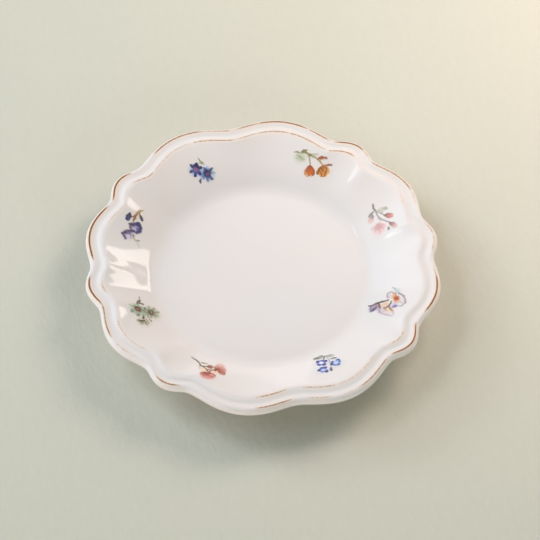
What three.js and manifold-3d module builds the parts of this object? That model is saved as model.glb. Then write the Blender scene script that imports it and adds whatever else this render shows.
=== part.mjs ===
// A scalloped porcelain dessert plate: one fired body, two gilt lines and eight flower sprigs.
// Millimetres, +Z up. The origin is the middle of the foot ring's resting face.
// X is the mirror axis through the two end lobes, Y the one through the notches of the wide lobes.
import * as THREE from "three";
import { TessellateModifier } from "three/addons/modifiers/TessellateModifier.js";
import { mergeVertices } from "three/addons/utils/BufferGeometryUtils.js";
import Module from "manifold-3d";

// Plan of the rim, measured on the outer gilt line. A quarter turn from +X holds these lobes.
const NOTCH_RADIUS = 89.2;
const END_LOBE = { endAngle: 8.75, rise: 3.6 };
const MEDIUM_LOBE = { endAngle: 36.8, rise: 4.2 };
const SMALL_LOBE = { endAngle: 53.7, rise: 4.1 };
const WIDE_LOBE = { endAngle: 90, rise: 5.2 };
const NOTCH_SOFTNESS = 0.42;

// Section of the body, from the well outwards.
const FOOT_HEIGHT = 3.2;
const FOOT_WIDTH = 4;
const FOOT_STEP = 2.8;
const FOOT_DRAFT = 0.8;
const FOOT_CHAMFER = 0.6;
const WALL = 4.2;
const WELL_RADIUS = 53;
const WELL_DEPTH = 14;
const WELL_CURVE = 8.5;
const SHOULDER_WIDTH = 1.8;
const BORDER_WIDTH = 6.7;
const BORDER_HOLLOW = 0.7;
const RIM_THICKNESS = 5.2;
const EDGE_BULGE = 2.05;
const FLUTE_FADE = 2.2;

// Fired-on decoration.
const LINE_WIDTH = 1;
const FILM_THICKNESS = 0.2;
const FILM_CLEARANCE = 0.15;
const SPRIG_TURN = -13;

// One square of a sprig's drawing, as a share of the cavetto's width.
const DRAWING_SHARE = 0.0339;

// Outline of a petal or leaf: where along its length it is broad near the base, and near the tip.
const BASE_SHARE = 0.3;
const ROUND_TIP_SHARE = 1;
const POINTED_TIP_SHARE = 0.7;

// Fineness of the faceted surfaces.
const TURN_STEPS = 132;
const CURVE_STEPS = 3;
const CAVETTO_STEPS = 2;
const SHOULDER_STEPS = 2;
const BORDER_STEPS = 4;
const EDGE_STEPS = 5;
const BLADE_STEPS = 3;
const STEM_STEPS = 2;
const FILM_EDGE = 4;
const FILM_PASSES = 8;
const SLOPE_STEP = 0.01;

// Sizes that follow from the ones above.
const FLOOR_HEIGHT = FOOT_HEIGHT + WALL;
const RIM_HEIGHT = FLOOR_HEIGHT + WELL_DEPTH;
const RIDGE_RADIUS = NOTCH_RADIUS - BORDER_WIDTH;
const CAVETTO_WIDTH = RIDGE_RADIUS - WELL_RADIUS;
const DRAWING_GRID = DRAWING_SHARE * CAVETTO_WIDTH;
const CAVETTO_SLOPE = WELL_DEPTH / (CAVETTO_WIDTH - (WELL_CURVE + SHOULDER_WIDTH) / 2);
const CURVE_RADIUS = WELL_RADIUS + WELL_CURVE;
const SHOULDER_RADIUS = RIDGE_RADIUS - SHOULDER_WIDTH;
const FOOT_RADIUS = WELL_RADIUS + FOOT_STEP;
const QUARTER_LOBES = [END_LOBE, MEDIUM_LOBE, SMALL_LOBE, WIDE_LOBE];
const TOP_STATIONS = [
  WELL_RADIUS,
  ...stations(WELL_RADIUS, CURVE_RADIUS, CURVE_STEPS),
  ...stations(CURVE_RADIUS, SHOULDER_RADIUS, CAVETTO_STEPS),
  ...stations(SHOULDER_RADIUS, RIDGE_RADIUS, SHOULDER_STEPS),
  ...stations(RIDGE_RADIUS, NOTCH_RADIUS, BORDER_STEPS),
];

// Eight strewn sprigs on the cavetto: how far down it each lies, its bearing, and what it is drawn of.
// A drawing's own x and y are grid squares in plan, and every drawing has the same turn about Z.
const SPRIGS = [
  {
    name: "blue_daisy_sprig",
    colour: 0x3f519c,
    down: 0.534,
    angle: 106.1,
    parts: () => [
      flower([-3.2, 0.8], 8, 3.7, 1.7, 1.2, 22),
      flower([3.3, -0.6], 8, 3.6, 1.7, 1.2, 0),
      stem(0.6, [-1.5, 6.2], [-0.7, 3.4], [0.2, 0.2], [0.1, -4.4]),
      leaf([-0.9, 4.2], 128, 2.4, 1.1),
      leaf([-0.6, 3.4], 58, 2.2, 1),
      petal([0.1, -3], 270, 3, 1.2),
    ],
  },
  {
    name: "orange_bell_sprig",
    colour: 0xc2632b,
    down: 0.275,
    angle: 55.9,
    parts: () => [
      stem(0.8, [-10.4, 6.2], [-6.4, 5.9], [-2.8, 4], [0.8, 2], [4.2, -2]),
      stem(0.6, [-4.4, 5], [-3, 2.4], [-2.8, -1.6]),
      leaf([-5.6, 5.2], 208, 5.6, 2.4),
      leaf([-6.8, 5.6], 62, 2.4, 1.4),
      leaf([-2.6, 3.8], 24, 3.4, 1.2),
      petal([-2.8, -0.8], 250, 5.6, 2.6),
      petal([-2.8, -0.8], 272, 5.6, 2.4),
      petal([-2.8, -0.8], 298, 5.4, 2.6),
      petal([4.1, -1.4], 240, 5.4, 2.4),
      petal([4.1, -1.4], 268, 6, 2.6),
      petal([4.1, -1.4], 300, 5.4, 2.6),
      petal([3.6, -1.6], 346, 5.2, 1.5),
      petal([0.9, 1.8], 352, 5, 1.4),
    ],
  },
  {
    name: "pink_bud_sprig",
    colour: 0xd9a3a4,
    down: 0.45,
    angle: 15.2,
    parts: () => [
      stem(0.7, [-4.7, 9.8], [-3.6, 6.4], [-1.7, 2.2], [-0.4, -2]),
      stem(0.6, [-2.3, 3.4], [0.6, 0], [4.6, -3.6]),
      stem(0.5, [-3.2, 5.4], [-0.8, 3.8], [2, 2.4]),
      leaf([-3.7, 6.6], 218, 4.4, 1.2),
      leaf([-3.4, 6.2], 2, 6.4, 1.3),
      leaf([3, -2.2], 280, 4, 0.9),
      stem(0.5, [-3, 4.8], [-4.2, 4.2], [-5, 3.4]),
      petal([-4.7, 4.2], 252, 4.8, 2.2),
      petal([1.5, 2.8], 330, 5.2, 2.8),
      petal([4, -3], 318, 5, 2.1),
      flower([-0.8, -4.2], 5, 3.8, 3.6, 1, 18),
    ],
  },
  {
    name: "lilac_blossom_sprig",
    colour: 0xb9a5b8,
    down: 0.521,
    angle: -29.1,
    parts: () => [
      stem(1, [-10, -0.3], [-5.4, 0.7], [0.2, 1.3]),
      stem(0.8, [-9, -4], [-6.4, -2.4], [-3.8, 0.4]),
      flower([4, 1.6], 5, 4.9, 4.4, 1.7, 36),
      flower([-0.4, -4.6], 5, 4.2, 3.8, 1.3, 60),
      petal([-2.6, 0.6], 232, 4.4, 1.9),
      petal([1, -2], 322, 4, 2.2),
      leaf([2.8, 5.2], 118, 4, 1.2),
    ],
  },
  {
    name: "forget_me_not_sprig",
    colour: 0x4c56a4,
    down: 0.644,
    angle: -71.5,
    parts: () => [
      stem(0.6, [-2.4, 5.8], [-0.6, 3], [0.3, 0], [1.8, -5.6]),
      stem(0.5, [-0.5, 2.8], [-1.8, 1.6], [-3, 0.4]),
      stem(0.5, [0.3, 0], [2, -0.2], [4, -0.8]),
      stem(0.5, [0.7, -1.6], [-0.8, -3.6], [-2.2, -5.8]),
      flower([-3.1, 0.4], 5, 2.8, 2.4, 0.9, 54),
      flower([4.2, -0.8], 5, 2.7, 2.3, 0.9, 18),
      flower([-2.2, -5.9], 5, 2.7, 2.3, 0.9, 36),
      leaf([-1.9, 5.2], 194, 5.6, 1.6),
      leaf([-1.7, 5], 6, 5.2, 1.5),
      leaf([-0.4, 2.6], 18, 4.8, 1),
      petal([1.4, -4.2], 286, 3.2, 1.2),
    ],
  },
  {
    name: "coral_flower_sprig",
    colour: 0xc06a64,
    down: 0.378,
    angle: -123.8,
    parts: () => [
      stem(0.7, [-9.4, 8.5], [-5.8, 4.9], [-3.4, 1.8], [-0.6, -2]),
      stem(0.6, [-3.2, 1.6], [0, -0.2], [3.2, 0.4]),
      stem(0.5, [-4.6, 3.4], [-2.8, 2.2], [-1, 2.4]),
      leaf([-5.9, 5], 354, 4.8, 1.1),
      petal([-1.6, 2.4], 4, 3.2, 2),
      flower([-0.8, -5.6], 5, 4, 3.6, 1.1, 90),
      flower([5.5, 1.2], 5, 3.9, 3.5, 1.1, 30),
    ],
  },
  {
    name: "grey_star_sprig",
    colour: 0x93a08c,
    down: 0.551,
    angle: -165.5,
    parts: () => [
      stem(0.6, [-3.6, 8.6], [-2.4, 3.6], [-0.6, -1], [-0.7, -6.4]),
      flower([-4, 1.3], 9, 4, 1.5, 1.5, 10),
      flower([2.8, 1.9], 9, 4.2, 1.6, 1.4, 30),
      leaf([-3, 4], 97, 5.4, 2),
      leaf([-2.4, 4], 72, 3.6, 1.6),
      leaf([-0.6, -1.2], 266, 6.8, 1.9),
      leaf([-0.7, -4], 226, 4.2, 1.4),
      leaf([-0.6, -3.4], 318, 4.6, 1.5),
      leaf([0.4, -0.6], 300, 4.8, 1.3),
    ],
  },
  {
    name: "violet_sprig",
    colour: 0x4a3f86,
    down: 0.345,
    angle: 148.6,
    parts: () => [
      stem(0.9, [4.6, 9.8], [2.2, 7.2], [0.9, 3.4], [1.4, -0.6]),
      stem(0.5, [3.6, 8.8], [4, 7.8], [4, 6.6]),
      stem(0.5, [0.9, 3.8], [-0.4, 4.6], [-1.6, 4.6]),
      stem(0.5, [1.3, -0.4], [0, -3], [-3, -5.8]),
      petal([-0.9, 5.8], 238, 4.9, 2.5),
      petal([3.7, 7.6], 288, 3.8, 1.5),
      flower([1.5, -0.8], 5, 3.3, 2.9, 1, 18),
      flower([-3, -6], 5, 2.9, 2.5, 0.8, 54),
      leaf([0.2, -3.4], 292, 3.6, 0.9),
    ],
  },
];

const wasm = await Module();
wasm.setup();

// How far the rim stands out from the notch circle at an angle in radians.
function lobeRise(angle) {
  const degrees = THREE.MathUtils.radToDeg(angle);
  const folded = Math.abs(THREE.MathUtils.euclideanModulo(degrees + 90, 180) - 90);
  const index = QUARTER_LOBES.findIndex((lobe) => folded <= lobe.endAngle);
  const lobe = QUARTER_LOBES[index];
  const startsAt = index === 0 ? -lobe.endAngle : QUARTER_LOBES[index - 1].endAngle;
  const middle = (startsAt + lobe.endAngle) / 2;
  const across = (folded - middle) / (lobe.endAngle - middle);
  const swell = Math.hypot(Math.cos((across * Math.PI) / 2), NOTCH_SOFTNESS) - NOTCH_SOFTNESS;
  return (lobe.rise * swell) / (Math.hypot(1, NOTCH_SOFTNESS) - NOTCH_SOFTNESS);
}

// The scallops run full from the edge to the inner ridge, then die away down the cavetto as flutes.
function fluteShare(radius) {
  return THREE.MathUtils.clamp((radius - WELL_RADIUS) / CAVETTO_WIDTH, 0, 1) ** FLUTE_FADE;
}

// Upper surface of the section: flat well, curve, straight cavetto, rounded shoulder, hollow border.
function topHeight(radius) {
  if (radius >= RIDGE_RADIUS) {
    const across = (radius - RIDGE_RADIUS) / BORDER_WIDTH;
    return RIM_HEIGHT - BORDER_HOLLOW * Math.sin(Math.PI * across) ** 2;
  }
  if (radius >= SHOULDER_RADIUS) {
    return RIM_HEIGHT - (CAVETTO_SLOPE * (RIDGE_RADIUS - radius) ** 2) / (2 * SHOULDER_WIDTH);
  }
  const curved = THREE.MathUtils.clamp(radius - WELL_RADIUS, 0, WELL_CURVE);
  const straight = Math.max(0, radius - CURVE_RADIUS);
  return FLOOR_HEIGHT + CAVETTO_SLOPE * (curved ** 2 / (2 * WELL_CURVE) + straight);
}

// Height of the faceted upper surface at a point in plan, between two stations drawn out to the flutes.
function surfaceHeight(x, y) {
  const radius = Math.hypot(x, y);
  const rise = lobeRise(Math.atan2(y, x));
  const reach = (station) => station + fluteShare(station) * rise;
  const outer = TOP_STATIONS.findIndex((station) => reach(station) >= radius);
  if (outer === 0) return FLOOR_HEIGHT;
  const [near, far] = TOP_STATIONS.slice(outer - 1, outer + 1);
  return THREE.MathUtils.mapLinear(radius, reach(near), reach(far), topHeight(near), topHeight(far));
}

// Point of the underside one wall below the upper surface.
function underside(radius) {
  const rise = topHeight(radius + SLOPE_STEP) - topHeight(radius - SLOPE_STEP);
  const tilt = Math.atan(rise / (2 * SLOPE_STEP));
  return new THREE.Vector2(radius + WALL * Math.sin(tilt), topHeight(radius) - WALL * Math.cos(tilt));
}

function stations(from, to, steps) {
  return Array.from({ length: steps }, (_, i) => from + ((to - from) * (i + 1)) / steps);
}

// Closed section of the body, from the axis at the foot, round the edge, back to the axis in the well.
function bodySection() {
  const top = TOP_STATIONS.map((radius) => new THREE.Vector2(radius, topHeight(radius)));
  const edge = new THREE.EllipseCurve(
    NOTCH_RADIUS,
    RIM_HEIGHT - RIM_THICKNESS / 2,
    EDGE_BULGE,
    RIM_THICKNESS / 2,
    -Math.PI / 2,
    Math.PI / 2,
  ).getPoints(EDGE_STEPS);
  const rimUnderside = RIM_HEIGHT - RIM_THICKNESS;
  const footInner = FOOT_RADIUS - FOOT_WIDTH;
  const heel = FOOT_RADIUS + FOOT_DRAFT;
  const under = TOP_STATIONS.map(underside).filter(({ x, y }) => x > heel && y < rimUnderside);
  return [
    new THREE.Vector2(0, FOOT_HEIGHT),
    new THREE.Vector2(footInner - FOOT_DRAFT, FOOT_HEIGHT),
    new THREE.Vector2(footInner, FOOT_CHAMFER),
    new THREE.Vector2(footInner + FOOT_CHAMFER, 0),
    new THREE.Vector2(FOOT_RADIUS - FOOT_CHAMFER, 0),
    new THREE.Vector2(FOOT_RADIUS, FOOT_CHAMFER),
    new THREE.Vector2(heel, FOOT_HEIGHT),
    ...under,
    new THREE.Vector2(under.at(-1).x + WALL / 2, rimUnderside),
    ...edge.slice(0, -1),
    ...top.reverse(),
    new THREE.Vector2(0, FLOOR_HEIGHT),
  ];
}

function plateBody() {
  const geometry = new THREE.LatheGeometry(bodySection(), TURN_STEPS).rotateX(Math.PI / 2);
  const position = geometry.getAttribute("position");
  for (let i = 0; i < position.count; i++) {
    const radius = Math.hypot(position.getX(i), position.getY(i));
    const angle = Math.atan2(position.getY(i), position.getX(i));
    const moved = radius + fluteShare(radius) * lobeRise(angle);
    position.setXY(i, moved * Math.cos(angle), moved * Math.sin(angle));
  }
  return geometry;
}

function rimOutline(radius) {
  return Array.from({ length: TURN_STEPS }, (_, i) => {
    const angle = (2 * Math.PI * i) / TURN_STEPS;
    const reach = radius + lobeRise(angle);
    return new THREE.Vector2(reach * Math.cos(angle), reach * Math.sin(angle));
  });
}

// A gilt line is a flat ribbon that follows the scallops along a crest of the rim.
function giltLine(radius) {
  const shape = new THREE.Shape(rimOutline(radius + LINE_WIDTH / 2));
  shape.holes.push(new THREE.Path(rimOutline(radius - LINE_WIDTH / 2)));
  return new THREE.ExtrudeGeometry(shape, { depth: FILM_THICKNESS, bevelEnabled: false });
}

// A blade from its base at a point, along a direction in degrees: round-tipped or pointed.
function blade([x, y], direction, length, width, tipShare) {
  const middle = new THREE.Vector2(x, y);
  const turn = THREE.MathUtils.degToRad(direction);
  const place = (along, aside) =>
    new THREE.Vector2(x + along, y + aside).rotateAround(middle, turn);
  const handle = (2 / 3) * width;
  const tip = place(length, 0);
  const nearLeft = place(BASE_SHARE * length, handle);
  const farLeft = place(tipShare * length, handle);
  const farRight = place(tipShare * length, -handle);
  const nearRight = place(BASE_SHARE * length, -handle);
  const shape = new THREE.Shape().moveTo(x, y);
  shape.bezierCurveTo(nearRight.x, nearRight.y, farRight.x, farRight.y, tip.x, tip.y);
  shape.bezierCurveTo(farLeft.x, farLeft.y, nearLeft.x, nearLeft.y, x, y);
  return [shape];
}

function petal(base, direction, length, width) {
  return blade(base, direction, length, width, ROUND_TIP_SHARE);
}

function leaf(base, direction, length, width) {
  return blade(base, direction, length, width, POINTED_TIP_SHARE);
}

function flower([x, y], count, reach, width, centre, firstDirection) {
  const petals = Array.from({ length: count }, (_, i) =>
    petal([x, y], firstDirection + (360 * i) / count, reach, width),
  );
  const disc = new THREE.Shape().absarc(x, y, centre, 0, 2 * Math.PI);
  return [...petals.flat(), disc];
}

function stem(width, ...points) {
  const curve = new THREE.SplineCurve(points.map(([x, y]) => new THREE.Vector2(x, y)));
  const steps = STEM_STEPS * (points.length - 1);
  const sides = [1, -1].map((side) =>
    Array.from({ length: steps + 1 }, (_, i) => {
      const along = curve.getTangent(i / steps);
      const across = new THREE.Vector2(-along.y, along.x);
      return curve.getPoint(i / steps).addScaledVector(across, (side * width) / 2);
    }),
  );
  return [new THREE.Shape([...sides[1], ...sides[0].reverse()])];
}

function solidOf(geometry) {
  geometry.deleteAttribute("normal");
  geometry.deleteAttribute("uv");
  const merged = mergeVertices(geometry);
  return new wasm.Manifold(
    new wasm.Mesh({
      numProp: 3,
      vertProperties: merged.getAttribute("position").array,
      triVerts: new Uint32Array(merged.index.array),
    }),
  );
}

function geometryOf(solid) {
  const mesh = solid.getMesh();
  const geometry = new THREE.BufferGeometry();
  geometry.setAttribute("position", new THREE.BufferAttribute(mesh.vertProperties, mesh.numProp));
  geometry.setIndex(new THREE.BufferAttribute(mesh.triVerts, 1));
  return geometry;
}

// A sprig is one thin film: its shapes are joined flat, then draped over the cavetto.
function sprigFilm({ down, angle, parts }) {
  const film = { depth: FILM_THICKNESS, bevelEnabled: false, curveSegments: BLADE_STEPS };
  const flat = parts()
    .flat()
    .map((shape) => solidOf(new THREE.ExtrudeGeometry(shape, film)))
    .reduce((joined, piece) => joined.add(piece));
  const draped = new TessellateModifier(FILM_EDGE, FILM_PASSES).modify(geometryOf(flat));
  const around = THREE.MathUtils.degToRad(angle);
  const reach = RIDGE_RADIUS + lobeRise(around) - down * CAVETTO_WIDTH;
  draped.scale(DRAWING_GRID, DRAWING_GRID, 1);
  draped.rotateZ(THREE.MathUtils.degToRad(SPRIG_TURN));
  draped.translate(reach * Math.cos(around), reach * Math.sin(around), FILM_CLEARANCE);
  const position = draped.getAttribute("position");
  for (let i = 0; i < position.count; i++) {
    const height = surfaceHeight(position.getX(i), position.getY(i));
    position.setZ(i, position.getZ(i) + height);
  }
  return draped;
}

function piece(name, geometry, finish) {
  const mesh = new THREE.Mesh(geometry, new THREE.MeshStandardMaterial(finish));
  mesh.name = name;
  return mesh;
}

const porcelain = { color: 0xf1ebe8, roughness: 0.12, metalness: 0 };
const gilt = { color: 0xa9683f, roughness: 0.35, metalness: 0.8 };

const gilding = new THREE.Group();
gilding.position.z = RIM_HEIGHT + FILM_CLEARANCE;
gilding.add(piece("outer_gilt_line", giltLine(NOTCH_RADIUS), gilt));
gilding.add(piece("inner_gilt_line", giltLine(RIDGE_RADIUS), gilt));

const transfers = new THREE.Group();
for (const sprig of SPRIGS) {
  const print = { color: sprig.colour, roughness: 0.25, metalness: 0 };
  transfers.add(piece(sprig.name, sprigFilm(sprig), print));
}

const plate = new THREE.Group();
plate.add(piece("plate_body", plateBody(), porcelain));
plate.add(gilding);
plate.add(transfers);

export default plate;
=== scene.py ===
"""Looks of a scalloped porcelain dessert plate with gilt lines and eight strewn flower sprigs.

Metres, +Z up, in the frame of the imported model. X is the mirror axis through the two end lobes.
"""

import math

import bmesh
import bpy
import numpy as np
from mathutils import Matrix, Vector


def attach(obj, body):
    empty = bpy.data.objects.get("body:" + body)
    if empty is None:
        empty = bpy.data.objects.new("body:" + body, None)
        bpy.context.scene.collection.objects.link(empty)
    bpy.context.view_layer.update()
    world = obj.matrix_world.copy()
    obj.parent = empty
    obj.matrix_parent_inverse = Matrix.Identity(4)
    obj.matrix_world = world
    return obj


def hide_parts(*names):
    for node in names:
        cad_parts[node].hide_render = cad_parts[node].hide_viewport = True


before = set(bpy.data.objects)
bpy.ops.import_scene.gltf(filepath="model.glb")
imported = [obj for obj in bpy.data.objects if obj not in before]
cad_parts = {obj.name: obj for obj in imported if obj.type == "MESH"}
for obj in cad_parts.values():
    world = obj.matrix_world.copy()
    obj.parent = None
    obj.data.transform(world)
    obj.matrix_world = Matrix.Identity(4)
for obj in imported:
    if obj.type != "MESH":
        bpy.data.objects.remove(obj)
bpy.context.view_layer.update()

MM = 0.001

# Plan of the rim. A quarter turn from +X holds these lobes: end angle in degrees, rise over the notches.
NOTCH_RADIUS = 89.2 * MM
LOBE_ENDS = np.array([8.75, 36.8, 53.7, 90.0])
LOBE_RISES = np.array([3.6, 4.2, 4.1, 5.2]) * MM
NOTCH_SOFTNESS = 0.42

# Section of the body, from the well outwards.
FOOT_HEIGHT = 3.2 * MM
FOOT_WIDTH = 4.0 * MM
FOOT_STEP = 2.8 * MM
FOOT_DRAFT = 0.8 * MM
FOOT_ROUNDING = 0.9 * MM
HEEL_ROUNDING = 1.4 * MM
WALL = 4.2 * MM
WELL_RADIUS = 53.0 * MM
WELL_DEPTH = 14.0 * MM
WELL_CURVE = 8.5 * MM
SHOULDER_WIDTH = 1.8 * MM
BORDER_WIDTH = 6.7 * MM
BORDER_HOLLOW = 0.7 * MM
RIM_THICKNESS = 5.2 * MM
EDGE_BULGE = 2.05 * MM
FLUTE_FADE = 2.2
SLOPE_STEP = 0.01 * MM

FLOOR_HEIGHT = FOOT_HEIGHT + WALL
RIM_HEIGHT = FLOOR_HEIGHT + WELL_DEPTH
RIDGE_RADIUS = NOTCH_RADIUS - BORDER_WIDTH
CAVETTO_WIDTH = RIDGE_RADIUS - WELL_RADIUS
CAVETTO_SLOPE = WELL_DEPTH / (CAVETTO_WIDTH - (WELL_CURVE + SHOULDER_WIDTH) / 2)
CURVE_RADIUS = WELL_RADIUS + WELL_CURVE
SHOULDER_RADIUS = RIDGE_RADIUS - SHOULDER_WIDTH
FOOT_RADIUS = WELL_RADIUS + FOOT_STEP

# Fired-on decoration.
LINE_WIDTH = 1.0 * MM
FILM_RISE = 0.02 * MM
FILM_SINK = 0.04 * MM
EDGE_WEAR = 0.55
STAIN_REACH = 1.4 * MM
STAIN_LOW = RIM_HEIGHT - 0.6 * RIM_THICKNESS
STAIN_HIGH = RIM_HEIGHT - 0.3 * RIM_THICKNESS
STAIN_STRENGTH = 0.8
SPRIG_TURN = math.radians(-13)
SPRIG_REACH = 12.5
PAINT_GRID = 160
PAINT_EDGE = 0.015
LEAST_WIDTH = 0.05
LEAST_COVER = 0.0001

# Outline of a petal or leaf: where along its length it is broad near the base, and near the tip.
BASE_SHARE = 0.3
ROUND_TIP_SHARE = 1.0
POINTED_TIP_SHARE = 0.7

# Paint of a petal or leaf: how it thins out across its outline, its run of colour, and its darker edge.
BLADE_COVER = (-0.22, 0.3)
BLADE_RUN = (0.1, 0.95)
DARK_EDGE = 0.45
EDGE_DEPTH = 0.22

# Paint of a stroke: the width kept at its ends, the ends' length, and its full and last cover.
STROKE_END = 0.62
STROKE_TAPER = 0.08
STROKE_FULL = 0.2
STROKE_LAST = 0.72

# How far the edges of brush marks wander, in millimetres.
BROAD_WANDER = 0.11
FINE_WANDER = 0.06

# Gold left on the worn lines: arcs in degrees from +X, and the share of gold left in each. An arc fades
# from a little inside its ends to a little outside.
ARC_INSIDE = 2
ARC_OUTSIDE = 3
OUTER_GILT = [
    (0, 6, 0.35), (14, 20, 0.3), (20, 37, 0.55), (39, 43, 0.35), (43, 52, 0.8),
    (55, 63, 0.6), (64, 80, 0.75), (80, 88, 0.55), (89, 100, 0.45), (100, 118, 0.65),
    (131, 142, 0.95), (147, 168, 1.0), (177, 187, 1.0), (188, 201, 0.55), (204, 213, 0.3),
    (223, 230, 0.65), (257, 268, 0.55), (274, 281, 0.4), (284, 290, 0.25), (291, 305, 0.5),
    (308, 322, 0.75), (329, 343, 0.85), (343, 347, 0.35), (354, 361, 0.35),
]
INNER_GILT = [
    (15, 20, 0.25), (44, 53, 0.5), (55, 69, 0.47), (69, 81, 0.43), (81, 89, 0.4),
    (89, 104, 0.47), (105, 124, 0.3), (124, 132, 0.45), (142, 152, 0.3), (179, 183, 0.4),
    (196, 213, 0.3), (257, 267, 0.47), (273, 284, 0.38), (285, 303, 0.3), (310, 318, 0.35),
]

# Fineness of the meshes.
TURN_STEPS = 480
WELL_STEPS = 14
CAVETTO_STEPS = 44
SHOULDER_STEPS = 8
BORDER_STEPS = 20
EDGE_STEPS = 20
UNDER_STEPS = 30
ROUNDING_STEPS = 5
RIBBON_STEPS = 8
CURVE_STEPS = 24
FOLD_SEARCHES = 40
FLOOR_STEPS = 8
MERGE_DISTANCE = 0.001 * MM
SHARP_ANGLE = math.radians(50)

# Colours of the finishes. A noise mixes the two of a pair.
GLAZE_TINTS = (0xEDE5E3, 0xEBE6E6)
SPECK_TINT = 0x8F7B6A
BISCUIT_TINTS = (0xD9CCBC, 0xBBA893)
STAIN_TINT = 0xF2DCC4
GOLD_TINTS = (0x84461E, 0xB67440)
RUBBED_TINT = 0xD8AE88
CARD_TINTS = (0xD2D1C4, 0xD6D3C5)
FIBRE_TINT = 0xA6A498

# Noise of the finishes, in cells a metre, and the middle of its values.
TINT_CELLS = 22.0
SPECK_CELLS = 95.0
SPECK_GROUP_CELLS = 60.0
KNIFE_CELLS = (60, 1400, 60)
SHEEN_CELLS = 140.0
SLOW_CELLS = 55.0
FINE_CELLS = 420.0
BISCUIT_CELLS = 2600.0
MOTTLE_CELLS = 1500.0
WEAR_CELLS = 700.0
TARNISH_CELLS = 300.0
FIBRE_CELLS = (240, 130, 240)
CLOUD_CELLS = 9.0
MIDDLE = (0.3, 0.7)

# Between which values marks of the finishes fade, and how strong they get.
SPECK_SIZE = (0.012, 0.03)
SPECK_STRENGTH = 0.5
SPECK_GROUPS = (0.56, 0.62)
KNIFE_MARKS = (0.66, 0.72)
KNIFE_REACH = 0.8 * WELL_RADIUS
PAINT_MOTTLE = (0.88, 1.0)
GOLD_BREAKS = 0.7
GOLD_THIN = (0.4, 0.9)
GOLD_THIN_STRENGTH = 0.75
GOLD_FULL = (0.55, 1.2)
FIBRES = (0.35, 0.65)
FIBRE_STRENGTH = 0.03

# Relief, turn and gloss of the finishes. The foot is bare up to one height and glazed from another.
SLOW_RIPPLE = 0.05 * MM
FINE_RIPPLE = 0.004 * MM
FIBRE_RELIEF = 0.3 * MM
KNIFE_TURN = 0.6
FIBRE_TURN = 0.5
BARE_HEIGHT = 0.25 * MM
GLAZED_HEIGHT = 0.6 * MM
GLAZE_IOR = 1.5
GLAZE_ROUGHNESS = (0.03, 0.07)
KNIFE_ROUGHNESS = 0.1
BISCUIT_ROUGHNESS = 0.75
PAINT_ROUGHNESS = 0.12
GOLD_ROUGHNESS = 0.25
CARD_ROUGHNESS = 0.9
GOLD_METAL = 0.35
GLAZE_SPECULAR = 0.5
PAINT_SPECULAR = 0.2

# The camera, aimed at a point in the rim's plane.
CAMERA_TURN = math.radians(-13.06)
CAMERA_ELEVATION = math.radians(54)
CAMERA_ROLL = math.radians(2.08)
CAMERA_DISTANCE = 1.692
CAMERA_LENS = 213.6
CAMERA_NEAR = 0.1
CAMERA_FAR = 20
AIM_RIGHT = 4.07 * MM
AIM_AWAY = -6.12 * MM

# The room: half the side of the floor, and the light from all round.
FLOOR_REACH = 3
ROOM_TINT = (0.9, 1.0, 0.93, 1)
ROOM_STRENGTH = 0.2

# The window mirrored in the cavetto: bearing, elevation and distance, roll, watts a square metre, its
# left, right, low and high edges, and those of the dark patch in it.
WINDOW_PLACE = (44.2, 29.3, 1.6)
WINDOW_ROLL = -0.446
WINDOW_GLOW = 15.7
WINDOW_TINT = (1.0, 0.95, 0.87)
WINDOW_EDGES = (-0.279, 0.279, -0.132, 0.132)
WINDOW_PATCH = (-0.005, 0.172, -0.1, -0.024)

# Lamps: name, bearing and elevation in degrees, distance, width, height, watts, tint and roll. The
# glaze mirrors the left window and the glints, and not the fills.
WHITE = (1.0, 1.0, 1.0)
LEFT_WINDOW = ("left_window", 165, 32, 1.7, 2.0, 1.1, 6.8, (0.93, 0.97, 1.1))
GLINTS = [
    ("upper_glint", 142.5, 58.5, 1.6, 0.29, 0.03, 0.17, WHITE),
    ("side_glint", 165, 47.5, 1.6, 0.27, 0.025, 0.1, WHITE, 0.8),
]
FILLS = [
    ("left_fill", 165, 36, 1.7, 2.0, 1.3, 10.4, (0.85, 0.92, 1.0)),
    ("key_high", 150, 50, 1.6, 0.5, 0.3, 2.7, (0.86, 0.86, 1.0)),
    ("key_low", 150, 24, 1.6, 0.5, 0.3, 5.2, (0.82, 1.01, 0.96)),
    ("front_low", 240, 6, 1.6, 0.4, 0.15, 7.8, (1.0, 0.81, 0.73)),
    ("front_right", 300, 20, 1.6, 0.6, 0.4, 4.9, (0.87, 1.0, 0.94)),
    ("warm_lamp", 41, 35, 0.52, 0.25, 0.25, 0.88, (1.0, 0.76, 0.62)),
    ("back_lamp", 52, 42, 0.75, 0.25, 0.25, 1.4, (1.0, 0.89, 0.82)),
]


def colour(code):
    """Linear red, green and blue of a colour written as 0xRRGGBB."""
    channels = np.array([code >> 16 & 255, code >> 8 & 255, code & 255]) / 255
    return np.where(channels <= 0.04045, channels / 12.92, ((channels + 0.055) / 1.055) ** 2.4)


def rgba(code):
    return (*colour(code), 1.0)


def smooth_step(value, start, end):
    share = np.clip((value - start) / (end - start), 0, 1)
    return share * share * (3 - 2 * share)


def lobe_rise(angle):
    """How far the rim stands out from the notch circle at an angle in radians."""
    folded = np.abs((np.degrees(angle) + 90) % 180 - 90)
    starts = np.array([-LOBE_ENDS[0], *LOBE_ENDS[:-1]])
    lobe = np.minimum(np.searchsorted(LOBE_ENDS, folded), len(LOBE_ENDS) - 1)
    middle = (starts + LOBE_ENDS) / 2
    across = (folded - middle[lobe]) / (LOBE_ENDS - middle)[lobe]
    swell = np.hypot(np.cos(across * math.pi / 2), NOTCH_SOFTNESS) - NOTCH_SOFTNESS
    return LOBE_RISES[lobe] * swell / (math.hypot(1, NOTCH_SOFTNESS) - NOTCH_SOFTNESS)


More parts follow.
